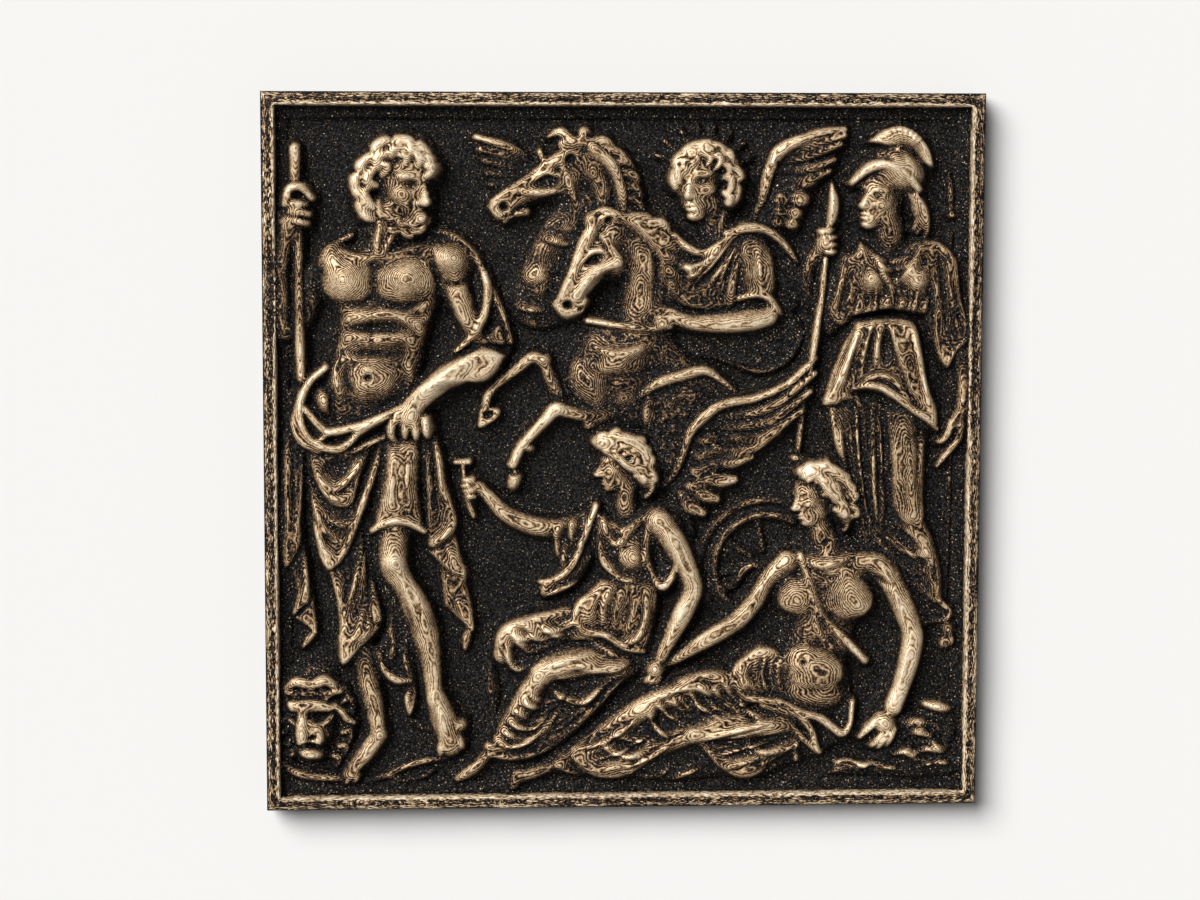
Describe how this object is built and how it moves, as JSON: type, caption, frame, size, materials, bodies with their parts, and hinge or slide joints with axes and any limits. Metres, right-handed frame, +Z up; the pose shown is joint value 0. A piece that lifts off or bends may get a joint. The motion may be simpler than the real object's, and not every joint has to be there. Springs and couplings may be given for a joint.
{
  "type": "wall relief plaque",
  "caption": "Square wall plaque with a raised frame and a classical figure relief of gods, horses and seated women, black with rubbed gold highlights; hangs flat against a wall.",
  "frame": {"origin": "centre of the flat back face that lies against the wall", "axes": "+X to the viewer's right and +Z up as it hangs; +Y points out of the back, into the wall, so the relief looks along -Y"},
  "size_m": [0.3, 0.0218, 0.3],
  "materials": {
    "gilded_black_resin": "matte black base coat with tan gold dry-brushed on the raised parts, fine contour lines in the surface"
  },
  "bodies": {
    "root": {"relief_plaque": "gilded_black_resin"}
  },
  "joints": []
}
